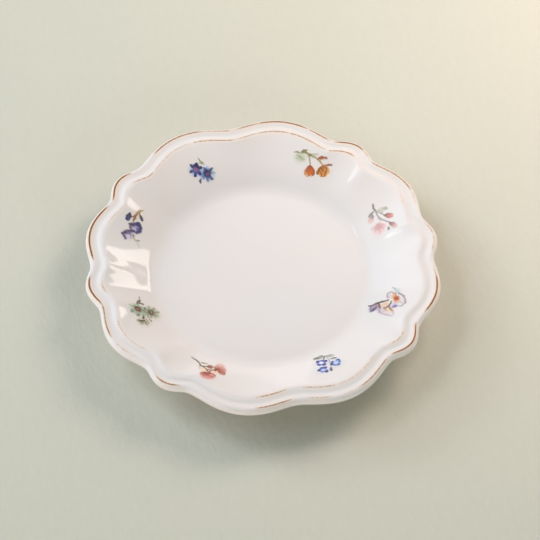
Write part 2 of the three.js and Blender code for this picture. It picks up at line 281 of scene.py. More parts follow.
def flute_share(radius):
    """The scallops run full from the edge to the ridge, then die away down the cavetto as flutes."""
    return np.clip((radius - WELL_RADIUS) / CAVETTO_WIDTH, 0, 1) ** FLUTE_FADE


def top_height(radius):
    """Upper surface of the section: flat well, curve, straight cavetto, shoulder, hollow border."""
    across = (radius - RIDGE_RADIUS) / BORDER_WIDTH
    border = RIM_HEIGHT - BORDER_HOLLOW * np.sin(math.pi * across) ** 2
    shoulder = RIM_HEIGHT - CAVETTO_SLOPE * (RIDGE_RADIUS - radius) ** 2 / (2 * SHOULDER_WIDTH)
    curved = np.clip(radius - WELL_RADIUS, 0, WELL_CURVE)
    straight = np.maximum(0, radius - CURVE_RADIUS)
    cavetto = FLOOR_HEIGHT + CAVETTO_SLOPE * (curved**2 / (2 * WELL_CURVE) + straight)
    return np.where(radius >= RIDGE_RADIUS, border, np.where(radius >= SHOULDER_RADIUS, shoulder, cavetto))


def crest_height(radius):
    """Upper surface of the border and, past the notch circle, of the rounded edge."""
    over = np.clip((radius - NOTCH_RADIUS) / EDGE_BULGE, 0, 1)
    edge = RIM_HEIGHT - RIM_THICKNESS / 2 * (1 - np.sqrt(1 - over**2))
    return np.where(radius > NOTCH_RADIUS, edge, top_height(radius))


def surface_height(x, y):
    """Height of the upper surface in plan: the scallops are first taken out of the radius."""
    radius = np.hypot(x, y)
    rise = lobe_rise(np.arctan2(y, x))
    low = np.zeros_like(radius)
    high = radius.copy()
    for _ in range(FOLD_SEARCHES):
        middle = (low + high) / 2
        inside = middle + flute_share(middle) * rise < radius
        low = np.where(inside, middle, low)
        high = np.where(inside, high, middle)
    return top_height(low)


def stations(start, end, steps):
    return np.linspace(start, end, steps + 1)[1:]


def rounded(corners):
    """Section line through corners, each cut back by its own rounding."""
    line = []
    for before, corner, after in zip(corners, corners[1:], corners[2:]):
        at = Vector(corner[:2])
        start = at + (Vector(before[:2]) - at).normalized() * corner[2]
        end = at + (Vector(after[:2]) - at).normalized() * corner[2]
        for step in range(ROUNDING_STEPS + 1):
            share = step / ROUNDING_STEPS
            line.append(start.lerp(at, share).lerp(at.lerp(end, share), share))
    return line


def underside(radius):
    """Points of the underside one wall below the upper surface."""
    rise = top_height(radius + SLOPE_STEP) - top_height(radius - SLOPE_STEP)
    tilt = np.arctan(rise / (2 * SLOPE_STEP))
    return np.stack([radius + WALL * np.sin(tilt), top_height(radius) - WALL * np.cos(tilt)], 1)


def body_section():
    """Section of the body from the axis under the well, round the edge, to the axis in the well."""
    foot_inner = FOOT_RADIUS - FOOT_WIDTH
    heel = FOOT_RADIUS + FOOT_DRAFT
    rim_underside = RIM_HEIGHT - RIM_THICKNESS
    under = underside(stations(WELL_RADIUS, SHOULDER_RADIUS, UNDER_STEPS))
    under = under[(under[:, 1] < rim_underside) & (under[:, 0] > heel + HEEL_ROUNDING)]
    foot = rounded(
        [
            (0, FOOT_HEIGHT, 0),
            (foot_inner - FOOT_DRAFT, FOOT_HEIGHT, HEEL_ROUNDING),
            (foot_inner, 0, FOOT_ROUNDING),
            (FOOT_RADIUS, 0, FOOT_ROUNDING),
            (heel, FOOT_HEIGHT, HEEL_ROUNDING),
            (under[0, 0], under[0, 1], 0),
        ]
    )
    turn = np.linspace(-math.pi / 2, math.pi / 2, EDGE_STEPS + 1)[:-1]
    edge_radius = NOTCH_RADIUS + EDGE_BULGE * np.cos(turn)
    edge_height = RIM_HEIGHT - RIM_THICKNESS / 2 + RIM_THICKNESS / 2 * np.sin(turn)
    top = np.concatenate(
        [
            stations(0, WELL_RADIUS, WELL_STEPS),
            stations(WELL_RADIUS, SHOULDER_RADIUS, CAVETTO_STEPS),
            stations(SHOULDER_RADIUS, RIDGE_RADIUS, SHOULDER_STEPS),
            stations(RIDGE_RADIUS, NOTCH_RADIUS, BORDER_STEPS),
        ]
    )[::-1]
    well = stations(0, foot_inner - FOOT_DRAFT - HEEL_ROUNDING, WELL_STEPS)[:-1]
    return [
        (0, FOOT_HEIGHT),
        *((radius, FOOT_HEIGHT) for radius in well),
        *foot,
        *under,
        (under[-1, 0] + WALL / 2, rim_underside),
        *zip(edge_radius, edge_height),
        *zip(top, top_height(top)),
        (0, FLOOR_HEIGHT),
    ]


def ribbon_section(radius):
    """Closed section of a painted line that lies on a crest at a radius."""
    across = np.linspace(radius - LINE_WIDTH / 2, radius + LINE_WIDTH / 2, RIBBON_STEPS + 1)
    height = crest_height(across)
    return [*zip(across, height + FILM_RISE), *zip(across[::-1], height[::-1] - FILM_SINK)]


def turned(section, closed):
    """Turns a section once about the plate's axis."""
    form = bmesh.new()
    points = [form.verts.new((point[0], 0, point[1])) for point in section]
    ends = points[1:] + points[:1] if closed else points[1:]
    lines = [form.edges.new(pair) for pair in zip(points, ends)]
    bmesh.ops.spin(
        form,
        geom=points + lines,
        axis=(0, 0, 1),
        cent=(0, 0, 0),
        angle=2 * math.pi,
        steps=TURN_STEPS,
        use_merge=True,
    )
    bmesh.ops.remove_doubles(form, verts=form.verts, dist=MERGE_DISTANCE)
    bmesh.ops.recalc_face_normals(form, faces=form.faces)
    return form


def vertex_places(mesh):
    places = np.empty(len(mesh.vertices) * 3)
    mesh.vertices.foreach_get("co", places)
    return places.reshape(-1, 3)


def draw_scallops(mesh):
    """Draws a turned mesh out to the scallops of the rim and the flutes of the cavetto."""
    places = vertex_places(mesh)
    radius = np.maximum(np.hypot(places[:, 0], places[:, 1]), MM)
    angle = np.arctan2(places[:, 1], places[:, 0])
    places[:, :2] *= 1 + (flute_share(radius) * lobe_rise(angle) / radius)[:, None]
    mesh.vertices.foreach_set("co", places.ravel())
    mesh.update()


def form_object(form, finish, name):
    """Makes an object of one finish from a bmesh."""
    mesh = bpy.data.meshes.new(name)
    form.to_mesh(mesh)
    form.free()
    mesh.materials.append(finish)
    made = bpy.data.objects.new(name, mesh)
    bpy.context.scene.collection.objects.link(made)
    return made


def piece(form, finish, node):
    """A smooth piece that stands for a node of the frame."""
    made = form_object(form, finish, node + "_look")
    made.data.shade_smooth()
    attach(made, "root")
    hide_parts(node)
    return made


def polar(mesh):
    """Radius and angle in degrees of each vertex about the plate's axis."""
    x, y = vertex_places(mesh)[:, :2].T
    return np.hypot(x, y), np.degrees(np.arctan2(y, x)) % 360


def mark(mesh, name, values):
    """Writes a value for each vertex into an attribute of the mesh."""
    made = mesh.attributes.new(name, "FLOAT", "POINT")
    made.data.foreach_set("value", values.astype(np.float32))


def gilt_left(angle, arcs):
    """How much gold is left at an angle in degrees, from arcs of (start, end, share)."""
    left = np.zeros_like(angle)
    for start, end, share in arcs:
        begun = smooth_step(angle, start - ARC_OUTSIDE, start + ARC_INSIDE)
        ended = smooth_step(angle, end - ARC_INSIDE, end + ARC_OUTSIDE)
        left = np.maximum(left, share * (begun * (1 - ended)))
    return left


def gilt_line(radius, arcs, finish, node):
    """A painted line whose own attribute says how much gold is left: less towards its two edges."""
    made = piece(turned(ribbon_section(radius), True), finish, node)
    reach, angle = polar(made.data)
    aside = (reach - radius) / (LINE_WIDTH / 2)
    mark(made.data, "gilt", gilt_left(angle, arcs) * (1 - EDGE_WEAR * aside**2))
    draw_scallops(made.data)
    made.data.set_sharp_from_angle(angle=SHARP_ANGLE)


def gilt_stain(mesh):
    """Marks, before the scallops are drawn, how far rubbed gold has stained the glaze round its lines."""
    radius, angle = polar(mesh)
    stain = np.zeros_like(radius)
    for line, arcs in ((NOTCH_RADIUS, OUTER_GILT), (RIDGE_RADIUS, INNER_GILT)):
        near = np.exp(-(((radius - line) / STAIN_REACH) ** 2))
        stain = np.maximum(stain, near * gilt_left(angle, arcs))
    mark(mesh, "stain", stain * smooth_step(vertex_places(mesh)[:, 2], STAIN_LOW, STAIN_HIGH))


def spline(points):
    """Points close together along a smooth curve through others."""
    points = np.array(points, float)
    held = np.vstack([2 * points[0] - points[1], points, 2 * points[-1] - points[-2]])
    share = np.linspace(0, 1, CURVE_STEPS, endpoint=False)[:, None]
    runs = []
    for before, start, end, after in zip(held, held[1:], held[2:], held[3:]):
        bend = (2 * before - 5 * start + 4 * end - after) * share**2
        twist = (3 * start - before - 3 * end + after) * share**3
        runs.append((2 * start + (end - before) * share + bend + twist) / 2)
    return np.vstack([*runs, points[-1:]])


def stroke(points, width, first, last, strength=1.0):
    """Brush stroke along a curve, changing from its first colour to its last."""

    def lay(film):
        path = spline(points)
        near = np.all((film > path.min(0) - width) & (film < path.max(0) + width), axis=1)
        apart = np.linalg.norm(film[near, None] - path, axis=2)
        share = np.zeros(len(film))
        share[near] = apart.argmin(1) / (len(path) - 1)
        away = np.full(len(film), width)
        away[near] = apart.min(1)
        held = np.clip(share, STROKE_TAPER, 1 - STROKE_TAPER)
        taper = STROKE_END + (1 - STROKE_END) * np.sin(math.pi * held)
        cover = 1 - smooth_step(away, STROKE_FULL * width * taper, STROKE_LAST * width * taper)
        tone = colour(first) + (colour(last) - colour(first)) * share[:, None]
        return strength * cover, tone

    return lay


def measured(film, place, direction):
    """How far points of a film lie from a place, along a direction in degrees and to its left."""
    turn = math.radians(direction)
    offset = film - np.array(place)
    along = offset @ np.array([math.cos(turn), math.sin(turn)])
    return along, offset @ np.array([-math.sin(turn), math.cos(turn)])


def blade(base, direction, length, width, root, tip, tip_share=ROUND_TIP_SHARE, strength=1.0):
    """Brush mark of a petal or leaf from its base along a direction in degrees."""

    def lay(film):
        along, left = measured(film, base, direction)
        aside = np.abs(left)
        bend = np.linspace(0, 1, CURVE_STEPS)
        reach = 3 * (1 - bend) ** 2 * bend * BASE_SHARE + 3 * (1 - bend) * bend**2 * tip_share + bend**3
        at = np.interp(along / length, reach, bend)
        half = 2 * width * at * (1 - at)
        beyond = np.maximum(0, np.maximum(-along, along - length))
        cover = smooth_step(half - aside - beyond, *BLADE_COVER)
        share = smooth_step(along / length, *BLADE_RUN)
        tone = colour(root) + (colour(tip) - colour(root)) * share[:, None]
        edge = smooth_step(aside / np.maximum(half, LEAST_WIDTH), DARK_EDGE, 1.0)
        return strength * cover, tone * (1 - EDGE_DEPTH * edge[:, None])

    return lay


def petals(base, *rows):
    """Petals that spring from one base."""
    return [blade(base, *row) for row in rows]


def leaf(base, direction, length, width, root, tip, strength=1.0):
    return blade(base, direction, length, width, root, tip, POINTED_TIP_SHARE, strength)


def spot(centre, across, down, turn, shade, softness=0.4, strength=1.0):
    """Round or oval dab of paint that thins out towards its edge."""

    def lay(film):
        along, left = measured(film, centre, turn)
        cover = 1 - smooth_step(np.hypot(along / across, left / down), 1 - softness, 1 + softness)
        return strength * cover, np.broadcast_to(colour(shade), (len(film), 3))

    return lay


def wandering(film):
    """Lets the edges of brush marks wander as a hand does."""
    x = film[:, 0]
    y = film[:, 1]
    aside = BROAD_WANDER * np.sin(2.3 * y + 0.7 * x) + FINE_WANDER * np.sin(5.1 * x - 3.7 * y)
    along = BROAD_WANDER * np.sin(2.1 * x - 0.9 * y + 1.3) + FINE_WANDER * np.sin(4.7 * y + 3.3 * x)
    return film + np.stack([aside, along], 1)


def painted(film, marks):
    """Red, green, blue and cover of brush marks laid one over another on a film."""
    tone = np.zeros((len(film), 3))
    cover = np.zeros(len(film))
    wandered = wandering(film)
    for lay in marks:
        laid, shade = lay(wandered)
        tone = tone * (1 - laid[:, None]) + shade * laid[:, None]
        cover = cover + laid * (1 - cover)
    return np.column_stack([tone / np.maximum(cover, LEAST_COVER)[:, None], cover])


def sprig_film(node, down, bearing, marks, finish):
    """A sprig is one thin film: its brush marks are cut out of a grid, draped and given a thickness."""
    form = bmesh.new()
    bmesh.ops.create_grid(form, x_segments=PAINT_GRID, y_segments=PAINT_GRID, size=SPRIG_REACH)
    paint = painted(np.array([point.co.xy for point in form.verts]), marks)
    layer = form.verts.layers.float_color.new("paint")
    for point, tone in zip(form.verts, paint):
        point[layer] = tone
    bare = [face for face in form.faces if all(point[layer][3] < PAINT_EDGE for point in face.verts)]
    bmesh.ops.delete(form, geom=bare, context="FACES")
    around = math.radians(bearing)
    reach = RIDGE_RADIUS + float(lobe_rise(np.array(around))) - down * CAVETTO_WIDTH
    drawn = np.array([point.co.xy for point in form.verts]) * MM
    cos, sin = math.cos(SPRIG_TURN), math.sin(SPRIG_TURN)
    x = reach * math.cos(around) + drawn[:, 0] * cos - drawn[:, 1] * sin
    y = reach * math.sin(around) + drawn[:, 0] * sin + drawn[:, 1] * cos
    for point, place in zip(form.verts, np.stack([x, y, surface_height(x, y) + FILM_RISE], 1)):
        point.co = place
    bmesh.ops.recalc_face_normals(form, faces=form.faces)
    bmesh.ops.solidify(form, geom=form.faces[:], thickness=FILM_RISE + FILM_SINK)
    bmesh.ops.recalc_face_normals(form, faces=form.faces)
    made = piece(form, finish, node)
    made.data.set_sharp_from_angle(angle=SHARP_ANGLE)


# Bearings of the nine petals of a star, in degrees.
FAN = [petal * 40 for petal in range(9)]

# Brush marks of the sprigs in the order they are laid, with places and sizes in millimetres.
BLUE_DAISIES = [
    spot((-3.1, 0.2), 3.8, 3.4, 0, 0xB2BFE4, 0.35, 0.75),
    spot((3.4, -0.6), 4.0, 3.7, 0, 0xB6C8E8, 0.35, 0.75),
    spot((0.5, -0.9), 1.5, 2.4, 0, 0x8CA8D4, 0.5, 0.85),
    stroke([(-1.9, 6.5), (-1.4, 5.8), (-0.6, 5.0), (0.2, 4.0)], 0.9, 0x928E76, 0x86896A, 0.95),
    spot((-0.5, 4.6), 1.2, 0.9, 0, 0xADB096, 0.5, 0.75),
    leaf((-0.8, 5.2), 325, 2.8, 1.2, 0x7E8262, 0xB6BAA2, 0.8),
    *petals(
        (-3.0, 0.7),
        (185, 3.0, 1.7, 0x6078BC, 0xA2B6DE), (240, 3.0, 1.7, 0x5C74BC, 0x9CB0DC),
        (120, 3.1, 1.6, 0x3C50A2, 0x5468B0), (60, 2.9, 1.7, 0x3A4A9C, 0x6A7CBC),
        (292, 2.9, 1.6, 0x5068B8, 0x8CA2D8), (352, 2.9, 1.7, 0x5A70B8, 0x8EA6DA),
        (88, 3.6, 2.4, 0x24306E, 0x1A1E4C), (150, 3.9, 1.8, 0x4C5CA6, 0x2A2E5E),
        (213, 4.2, 1.7, 0x566AB0, 0x282C52), (265, 4.3, 1.8, 0x4658AA, 0x181C58),
        (320, 3.8, 2.1, 0x3C4EA6, 0x1C2468), (28, 3.8, 1.8, 0x46428E, 0x222A48),
    ),
    spot((-3.0, 1.9), 1.5, 1.0, 0, 0x151940, 0.6, 0.8),
    spot((-3.0, 0.6), 1.3, 1.1, 10, 0x8A5C80, 0.5),
    *petals(
        (3.3, -0.4),
        (75, 3.0, 1.7, 0x2A4C92, 0x8FB2E2), (98, 3.9, 1.6, 0x22407E, 0xAECBF0),
        (130, 3.9, 1.6, 0x223878, 0x48649E), (52, 4.3, 1.5, 0x2C4A84, 0x40566E),
        (16, 4.4, 1.6, 0x7C98C6, 0xA4B4C4), (345, 3.2, 1.7, 0x8CA6D2, 0xC0D0E6),
        (317, 4.3, 1.7, 0x4C66A6, 0x5A6484), (274, 4.2, 1.8, 0x4460A6, 0x767CA8),
        (225, 3.9, 1.7, 0x36559F, 0x5A76BA), (180, 2.7, 1.8, 0x24408E, 0x4462A6),
    ),
    spot((3.2, -0.4), 2.0, 2.0, 0, 0x141C50, 0.45),
    spot((3.4, -0.6), 1.0, 0.9, 0, 0x6A4570, 0.5),
    blade((0.5, -0.6), 284, 3.3, 1.5, 0x5C78BC, 0x7C94CA),
    blade((-0.3, -3.2), 268, 2.9, 1.5, 0x6C7096, 0x41456C),
]

ORANGE_BELLS = [
    spot((-3.0, -3.9), 3.0, 3.1, 0, 0xF0D2BC, 0.3, 0.7),
    spot((4.3, -4.2), 3.4, 3.4, 0, 0xF0D6B8, 0.3, 0.7),
    spot((-8.4, 3.6), 3.1, 2.3, -20, 0xC2C6A8, 0.6, 0.8),
    stroke([(-10.6, 5.2), (-8.4, 3.9), (-6.2, 2.2)], 1.0, 0xB8BC9C, 0xB4BA9E, 0.85),
    stroke([(-10.4, 3.6), (-8.6, 2.9), (-6.8, 1.8)], 0.9, 0xB6BB9E, 0xC4C8B0, 0.8),
    stroke([(-9.6, 4.5), (-8.2, 3.6), (-7.0, 2.7)], 0.8, 0x98A07A, 0xA4AC88, 0.8),
    stroke([(-11.8, 6.7), (-10.2, 6.5), (-8.4, 6.1)], 0.9, 0x9A9878, 0x84825C),
    leaf((-9.2, 5.8), 16, 5.0, 1.9, 0xB0AC82, 0x8C8450, 0.9),
    spot((-6.7, 6.6), 1.2, 0.8, 20, 0x746E38, 0.6, 0.95),
    stroke([(-6.6, 6.4), (-5.0, 5.4), (-3.3, 4.4), (-1.4, 3.4), (0.8, 1.9)], 1.3, 0x8E8652, 0xA8A070),
    spot((-3.2, 4.4), 1.0, 0.7, -30, 0x786E36, 0.6, 0.9),
    stroke([(0.6, 2.1), (2.2, 0.6), (3.8, -1.4)], 1.0, 0xAAA072, 0xB08C50),
    leaf((-2.6, 4.5), 353, 4.4, 1.5, 0xB4AE82, 0xCFCCB2, 0.8),
    stroke([(-4.6, 4.8), (-3.6, 2.8), (-3.2, 1.0), (-3.1, -0.8)], 0.9, 0xB4AE84, 0xA08A58),
    *petals(
        (-3.1, -0.6),
        (241, 5.5, 2.5, 0xA8480E, 0xD8925A), (291, 5.8, 2.6, 0xA03E08, 0xBE5410),
        (266, 5.6, 2.5, 0xB0480A, 0xD0722E),
    ),
    stroke([(-2.9, -1.0), (-1.5, -2.7), (-0.6, -4.4), (-0.5, -5.4)], 0.8, 0x8C3A06, 0xA24A12, 0.85),
    stroke([(-3.3, -1.2), (-4.4, -2.6), (-4.8, -3.8)], 0.8, 0x96420E, 0xB86A34, 0.8),
    spot((-2.0, -3.6), 0.8, 1.5, 15, 0xD2621A, 0.6, 0.7),
    stroke([(-5.0, -5.6), (-4.4, -6.2), (-3.4, -6.0)], 0.6, 0xA27C5A, 0x9A6438, 0.85),
    stroke([(-2.4, -6.0), (-1.5, -6.1), (-0.8, -5.6)], 0.6, 0x9E5A2C, 0x9A4A16, 0.85),
    *petals(
        (4.0, -1.4),
        (232, 5.4, 2.5, 0xBC7A30, 0xB4741E), (258, 5.7, 2.7, 0xBE7428, 0xE49E4C),
        (284, 5.9, 2.7, 0xCA8232, 0xE29038), (310, 5.3, 2.5, 0xC8843A, 0xE6AA62),
    ),
    stroke([(2.6, -2.4), (1.7, -4.0), (1.5, -5.6)], 1.0, 0x94500A, 0x8E4C06, 0.95),
    stroke([(3.1, -2.4), (3.4, -3.4), (4.2, -4.3)], 1.0, 0x924C0C, 0x96500A, 0.95),
    stroke([(2.7, -4.6), (3.3, -5.8), (3.2, -6.6)], 0.8, 0x9A5812, 0x8E4C0A, 0.9),
    stroke([(5.4, -2.6), (6.1, -3.8), (5.4, -5.0), (5.2, -6.2)], 0.9, 0xA06018, 0x8E4C0A, 0.95),
    stroke([(3.4, -6.8), (4.2, -7.1), (5.0, -6.6)], 0.6, 0x7E5224, 0x8E5A20, 0.9),
    blade((4.1, -1.2), 268, 2.1, 1.8, 0xA85C2C, 0xB4681E, 0.9),
    stroke([(0.9, 1.9), (2.2, 2.4), (3.8, 2.4), (5.9, 1.7)], 1.3, 0xB4682A, 0x90400C),
    stroke([(1.8, 1.9), (2.8, 1.6), (3.6, 1.9)], 0.8, 0x904612, 0x8A4210, 0.9),
    spot((4.5, 1.3), 0.9, 0.4, 0, 0xEDAE80, 0.5, 0.8),
    stroke([(4.4, -1.8), (6.4, -1.5), (8.7, -1.4)], 1.2, 0xC07A4E, 0x7E4A3A),
]

PINK_BUDS = [
    spot((-1.2, -4.6), 3.8, 3.8, 0, 0xF2D6D4, 0.5, 0.8),
    *petals(
        (-1.2, -3.0),
        (200, 3.7, 3.2, 0xE2B2B2, 0xF0D0CE, 0.75), (250, 4.6, 3.3, 0xE0B0B2, 0xF2D6D4, 0.75),
        (302, 4.4, 3.2, 0xE1B1B2, 0xF0D2D0, 0.75), (348, 3.9, 2.8, 0xE2B5B4, 0xEECCCA, 0.75),
        (105, 2.4, 2.7, 0xDAACAC, 0xE8C4C2, 0.75),
    ),
    spot((-1.5, -3.0), 2.1, 1.7, 0, 0xD49C9E, 0.7, 0.55),
    stroke([(-1.0, -6.4), (-0.6, -7.2), (-0.3, -8.0)], 0.8, 0xD8AEAE, 0xD2B4B2, 0.6),
    spot((-4.6, -3.6), 0.8, 1.1, 0, 0xDCC2BC, 0.6, 0.6),
    stroke([(-4.7, 10.4), (-4.7, 9.3), (-4.5, 8.1)], 1.2, 0x7A7772, 0x8A8880),
    stroke([(-4.2, 7.6), (-3.5, 6.8), (-3.1, 5.8)], 1.1, 0x77756A, 0x84827A),
    stroke([(-3.0, 5.8), (-2.3, 3.8), (-1.2, 1.6), (-0.3, 0.0)], 1.1, 0x9C9894, 0xBEB0AE, 0.9),
    stroke([(-1.6, 2.2), (0.6, 0.4), (2.6, -1.2), (4.2, -2.4)], 0.9, 0xA9A29E, 0xA48C88, 0.9),
    stroke([(-2.9, 5.8), (-0.6, 4.6), (1.4, 2.8)], 0.8, 0xA5A298, 0x8C7E74, 0.9),
    leaf((-3.9, 6.5), 221, 4.6, 1.7, 0x9C9A90, 0x86867A, 0.95),
    leaf((-2.8, 6.6), 4, 6.0, 2.0, 0xD6D8BE, 0xC0C4A6, 0.9),
    leaf((-0.2, 6.8), 350, 3.6, 1.5, 0xB8B8A0, 0xA9AE92, 0.85),
    stroke([(-2.4, 6.4), (-0.8, 5.9), (0.8, 4.9)], 0.8, 0xA6A498, 0xB9B7AC, 0.85),
    blade((-4.6, 4.7), 252, 5.0, 2.7, 0xA68E8E, 0xF0CAC6),
    spot((-5.6, 1.2), 0.9, 1.2, -10, 0xF0C4C0, 0.6, 0.8),
    blade((1.0, 3.1), 337, 5.6, 3.0, 0x786658, 0xE8A49A),
    spot((4.0, 1.6), 1.4, 0.9, 155, 0xD47C72, 0.6, 0.85),
    blade((3.9, -2.1), 316, 5.8, 2.6, 0x8E605A, 0xEBC6C2),
    spot((5.4, -3.7), 1.1, 0.7, 135, 0xB98680, 0.6, 0.8),
    blade((3.5, -4.3), 282, 2.5, 1.3, 0x9A9088, 0x88807A, 0.95),
]

LILAC_BLOSSOMS = [
    spot((6.8, -0.8), 2.4, 4.0, 15, 0xDED4D8, 0.45, 0.7),
    spot((1.4, 5.0), 2.4, 2.4, 0, 0xE6DADA, 0.5, 0.7),
    spot((-8.0, -1.4), 2.2, 2.2, 0, 0xA596B4, 0.4, 0.9),
    spot((-5.6, -1.6), 1.6, 2.6, 0, 0xB79FAE, 0.5, 0.8),
    spot((-1.8, -1.2), 2.2, 2.2, 0, 0xE4C4AC, 0.4, 0.95),
    spot((0.0, -5.6), 2.8, 2.6, 0, 0xE6CCBA, 0.45, 0.9),
    spot((-3.6, -5.0), 2.0, 2.4, 0, 0xD4BEC8, 0.55, 0.8),
    spot((0.2, -9.0), 2.2, 1.4, -25, 0xDED0D2, 0.5, 0.7),
    stroke([(-10.1, 0.8), (-8.2, 0.8), (-6.2, 1.4), (-3.4, 1.7), (-0.3, 1.7)], 1.6, 0x6E5C60, 0x64504A),
    stroke([(-6.2, 1.3), (-4.8, 1.6), (-3.4, 1.6)], 1.0, 0x54403C, 0x564440, 0.8),
    stroke([(-9.4, -3.4), (-8.2, -3.0), (-6.4, -1.2)], 1.7, 0x665574, 0x625270),
    stroke([(-9.6, 0.4), (-9.2, -1.4), (-8.8, -3.0)], 0.9, 0x8A7C94, 0x786A8C, 0.8),
    stroke([(-5.1, 0.8), (-4.8, -0.8), (-4.4, -2.6)], 1.3, 0x866468, 0x744C50),
    stroke([(-6.4, 0.8), (-6.2, -0.6), (-5.8, -2.2)], 0.9, 0x8C7484, 0x9C8496, 0.85),
    stroke([(-4.6, -3.0), (-4.9, -4.6), (-4.2, -6.2), (-2.6, -8.0)], 1.1, 0xA892AC, 0xB4A4B8, 0.85),
    stroke([(-2.8, -7.8), (-1.6, -8.8), (-0.2, -9.6)], 1.1, 0xB2A2B8, 0xBCAEBE, 0.85),
    stroke([(-0.4, -9.6), (0.8, -10.6), (1.9, -10.8), (2.4, -9.6)], 0.9, 0xBCAEBC, 0xC8BAC0, 0.8),
    stroke([(2.3, -9.8), (2.3, -8.2), (1.8, -6.6)], 0.9, 0xC8B6B0, 0xBC9C84, 0.8),
    stroke([(-0.3, 3.4), (-0.7, 5.2), (0.1, 6.9), (1.4, 7.0), (2.6, 6.0)], 1.2, 0xAC9CAA, 0xB8A4A6, 0.9),
    stroke([(0.6, 2.8), (0.4, 4.0), (1.2, 5.2)], 0.9, 0xD0BEB8, 0xC6B4B4, 0.7),
    stroke([(1.9, 10.0), (3.4, 8.5), (4.3, 7.0), (5.4, 5.2)], 1.0, 0xB4BABA, 0x94A0A2, 0.95),
    spot((5.1, 7.2), 0.9, 1.8, 35, 0xC4D4DA, 0.5, 0.8),
    stroke([(5.2, 5.0), (6.6, 3.6), (7.7, 2.2), (8.3, 0.2)], 1.3, 0x948C8E, 0xA49A9C, 0.95),
    stroke([(8.2, 0.6), (8.5, -1.4), (8.5, -3.2), (7.4, -4.2)], 1.2, 0xA89EA2, 0x9C8E94, 0.95),
    stroke([(7.6, -3.8), (6.3, -4.9), (4.9, -4.5)], 1.0, 0xAA9EA8, 0xB4A8BE, 0.9),
    stroke([(5.8, -0.6), (6.4, -2.0), (7.2, -3.2)], 0.8, 0xC6B2B0, 0xB6A6AC, 0.8),
    blade((3.6, 2.8), 98, 3.8, 2.0, 0xD69A74, 0xC8A48C, 0.85),
    spot((2.7, 3.4), 1.3, 1.5, 30, 0xE2B090, 0.55, 0.9),
    spot((4.1, 0.2), 1.8, 2.4, 0, 0xE2AC90, 0.5, 0.9),
    spot((4.0, 1.8), 1.5, 1.8, 10, 0xBA5E32, 0.5),
    spot((4.4, 1.4), 0.8, 0.9, 10, 0xA44A22, 0.6, 0.8),
    stroke([(1.4, 0.4), (0.9, -1.2), (0.2, -2.6), (-1.4, -3.4), (-2.6, -3.4)], 1.3, 0x786054, 0x8C6C5E),
    spot((-0.4, -2.9), 1.1, 0.7, 20, 0x775C50, 0.5, 0.85),
    stroke([(-1.8, -3.6), (-1.7, -4.8), (-1.0, -6.0)], 0.9, 0xA07E6C, 0xB89A88, 0.85),
    stroke([(0.0, -3.0), (0.8, -4.8), (1.6, -7.0)], 1.1, 0x8C6E5C, 0x96765A, 0.95),
    spot((2.6, -2.4), 1.5, 1.2, 0, 0xC8C0E0, 0.5, 0.85),
    spot((3.1, -4.0), 1.6, 1.0, 10, 0x7468AC, 0.5, 0.95),
]

FORGET_ME_NOTS = [
    leaf((-1.4, 6.0), 194, 6.4, 2.5, 0xA4A89A, 0x7E8474, 0.95),
    spot((-6.2, 4.7), 1.4, 0.9, 10, 0x6C7262, 0.6, 0.9),
    stroke([(-4.2, 6.6), (-3.0, 6.8), (-1.7, 5.9)], 0.9, 0x7E8270, 0x8C9080),
    leaf((-1.8, 5.8), 2, 5.4, 2.4, 0x9A9E90, 0xB6BAAC, 0.95),
    leaf((0.8, 3.0), 8, 4.0, 1.5, 0x8A8E88, 0x676B68),
    stroke([(-1.8, 5.6), (-2.0, 4.2), (-2.4, 2.8)], 0.9, 0x74776E, 0x5A5A7A),
    stroke([(-0.2, 4.2), (0.6, 2.2), (1.1, -0.8), (1.5, -3.8)], 0.9, 0xA8ACA0, 0x9496A6, 0.9),
    stroke([(-0.7, -2.4), (-1.1, -3.4), (-1.2, -4.4)], 0.9, 0x7C7C96, 0x6E6EA0, 0.8),
    spot((-3.3, 0.4), 3.4, 3.0, 0, 0xC8CAF0, 0.35, 0.7),
    spot((4.3, -0.7), 3.2, 3.3, 0, 0xCCD8F2, 0.35, 0.7),
    spot((-2.5, -5.9), 3.2, 3.0, 0, 0xCCD2F2, 0.35, 0.7),
    *petals(
        (-3.3, 0.4),
        (32, 3.3, 2.6, 0x9298DC, 0x24246E), (85, 2.5, 2.3, 0x7A80C4, 0x5054A0),
        (146, 3.3, 2.7, 0x9096D8, 0x2E2C74), (228, 3.0, 2.5, 0x888ED4, 0x2A2C80),
        (306, 3.2, 2.6, 0x8288D0, 0x2A2C84),
    ),
    spot((-3.5, 0.5), 1.15, 0.9, 20, 0xEEEFFF, 0.5),
    *petals(
        (4.1, -0.6),
        (162, 2.6, 2.3, 0x8EA4DA, 0x3C4A80), (208, 3.1, 2.5, 0x7288C8, 0x1C2450),
        (60, 3.2, 2.6, 0x9EB4E4, 0x3C5684), (15, 2.6, 2.4, 0xAEC2F0, 0x546E9E),
        (304, 3.2, 2.5, 0x9CB0E4, 0x3C5284), (258, 3.0, 2.3, 0xA0B4E8, 0x6C80AE),
    ),
    spot((4.1, -0.8), 1.2, 1.1, 0, 0xC0CEFA, 0.5),
    *petals(
        (-2.3, -6.0),
        (66, 2.9, 2.7, 0x8490D2, 0x2C3684), (122, 2.7, 2.5, 0x8692D4, 0x3A4490),
        (186, 3.1, 2.5, 0x8490D0, 0x1A1A50), (252, 2.5, 2.3, 0x9CA8E0, 0x6A74B0),
        (320, 3.2, 2.6, 0x8A94D0, 0x2E2E60),
    ),
    spot((-2.3, -6.2), 1.0, 0.85, 0, 0xC6D0FA, 0.5),
    blade((1.5, -3.6), 274, 4.0, 1.7, 0x8E8E9E, 0x43424E),
]

